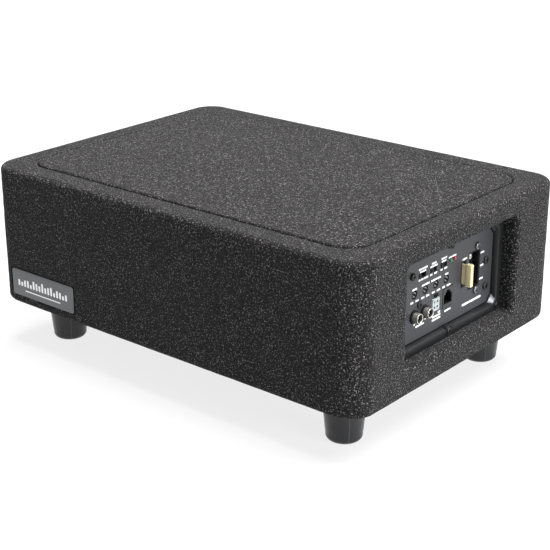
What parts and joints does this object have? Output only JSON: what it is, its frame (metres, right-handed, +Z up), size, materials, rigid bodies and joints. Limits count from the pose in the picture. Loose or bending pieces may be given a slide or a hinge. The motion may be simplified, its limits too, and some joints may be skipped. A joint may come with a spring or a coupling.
{
  "type": "powered car subwoofer",
  "caption": "Compact carpeted box subwoofer on four tall tapered feet, with a floor-firing woofer and a built-in amplifier panel recessed in one end.",
  "frame": {"origin": "on the floor under the middle of the cabinet", "axes": "+X towards the end with the amplifier panel, -Y towards the long side with the badge, +Z up"},
  "size_m": [0.4, 0.2834, 0.1643],
  "materials": {
    "board": "raw fibreboard",
    "carpet": "charcoal needled carpet with pale flecks",
    "foot_rubber": "black, slightly glossy",
    "trim_rubber": "matt black",
    "badge_metal": "dark brushed and bevelled",
    "basket_steel": "black powder coat",
    "chassis_steel": "black",
    "plated_steel": "zinc plated",
    "ferrite": "matt dark grey",
    "cone_paper": "black pressed pulp",
    "spider_cloth": "varnished corrugated cloth",
    "copper_wire": "enamelled copper windings",
    "bezel_plastic": "dark grey satin",
    "panel_paint": "bluish grey satin paint with white marks",
    "gasket_foam": "closed-cell foam",
    "laminate": "green circuit board laminate",
    "sink_aluminium": "extruded",
    "black_plastic": "black",
    "grey_plastic": "mid grey",
    "white_plastic": "white",
    "ivory_plastic": "translucent ivory",
    "green_lens": "green epoxy",
    "red_lens": "red epoxy",
    "nickel": "nickel plated",
    "socket_shell": "tin plated shield",
    "lead_jacket": "two-core lead jacket"
  },
  "bodies": {
    "cabinet": {"top_board": "board", "bottom_board": "board", "front_board": "board", "rear_board": "board", "left_board": "board", "right_board": "board", "amp_mounting_frame": "board", "carpet_wrap": "carpet", "carpet_top": "carpet", "carpet_bottom": "carpet", "foot_front_left": "foot_rubber", "foot_rear_left": "foot_rubber", "foot_front_right": "foot_rubber", "foot_rear_right": "foot_rubber", "woofer_trim_ring": "trim_rubber", "surround": "trim_rubber", "lead_gland": "trim_rubber", "badge_plate": "badge_metal", "woofer_basket": "basket_steel", "amp_chassis": "chassis_steel", "top_plate": "plated_steel", "yoke": "plated_steel", "magnet": "ferrite", "spider": "spider_cloth", "power_inductor": "copper_wire", "amp_bezel": "bezel_plastic", "amp_plate": "panel_paint", "bezel_gasket": "gasket_foam", "circuit_board": "laminate", "heat_sink": "sink_aluminium", "woofer_terminal": "black_plastic", "storage_capacitor_1": "black_plastic", "storage_capacitor_2": "black_plastic", "supply_terminals": "black_plastic", "fuse_holder": "black_plastic", "phase_switch_body": "black_plastic", "filter_switch_body": "black_plastic", "input_switch_body": "black_plastic", "gain_control_body": "black_plastic", "crossover_control_body": "black_plastic", "subsonic_control_body": "black_plastic", "bass_control_body": "black_plastic", "speaker_input_socket": "white_plastic", "power_light": "green_lens", "protect_light": "red_lens", "line_input_left": "nickel", "line_input_right": "nickel", "remote_socket": "socket_shell", "speaker_lead": "lead_jacket"},
    "cone_assembly": {"cone": "cone_paper", "dust_cap": "cone_paper", "voice_coil": "copper_wire"},
    "fuse": {"fuse": "ivory_plastic"},
    "phase_switch": {"phase_switch_slider": "grey_plastic"},
    "filter_switch": {"filter_switch_slider": "grey_plastic"},
    "input_switch": {"input_switch_slider": "grey_plastic"},
    "gain_control": {"gain_control_rotor": "grey_plastic"},
    "crossover_control": {"crossover_control_rotor": "grey_plastic"},
    "subsonic_control": {"subsonic_control_rotor": "grey_plastic"},
    "bass_control": {"bass_control_rotor": "grey_plastic"}
  },
  "joints": [
    {"name": "cone_travel", "type": "slide", "parent": "cabinet", "child": "cone_assembly", "axis": [0, 0, 1], "range_m": [-0.006, 0.006], "stiffness_N_per_m": 2000, "deforming": ["surround", "spider"]},
    {"name": "phase_switch_travel", "type": "slide", "parent": "cabinet", "child": "phase_switch", "axis": [0, 1, 0], "range_m": [0, 0.006]},
    {"name": "filter_switch_travel", "type": "slide", "parent": "cabinet", "child": "filter_switch", "axis": [0, 1, 0], "range_m": [0, 0.0032]},
    {"name": "input_switch_travel", "type": "slide", "parent": "cabinet", "child": "input_switch", "axis": [0, 1, 0], "range_m": [0, 0.0032]},
    {"name": "gain_control_turn", "type": "hinge", "parent": "cabinet", "child": "gain_control", "pos_m": [0.1825, -0.046, 0.10995], "axis": [1, 0, 0], "range_deg": [-140, 140]},
    {"name": "crossover_control_turn", "type": "hinge", "parent": "cabinet", "child": "crossover_control", "pos_m": [0.1825, -0.03125, 0.10995], "axis": [1, 0, 0], "range_deg": [-140, 140]},
    {"name": "subsonic_control_turn", "type": "hinge", "parent": "cabinet", "child": "subsonic_control", "pos_m": [0.1825, -0.0165, 0.10995], "axis": [1, 0, 0], "range_deg": [-140, 140]},
    {"name": "bass_control_turn", "type": "hinge", "parent": "cabinet", "child": "bass_control", "pos_m": [0.1825, -0.00175, 0.10995], "axis": [1, 0, 0], "range_deg": [-140, 140]},
    {"name": "fuse_pull", "type": "slide", "parent": "cabinet", "child": "fuse", "axis": [1, 0, 0], "range_m": [0, 0.014]}
  ]
}
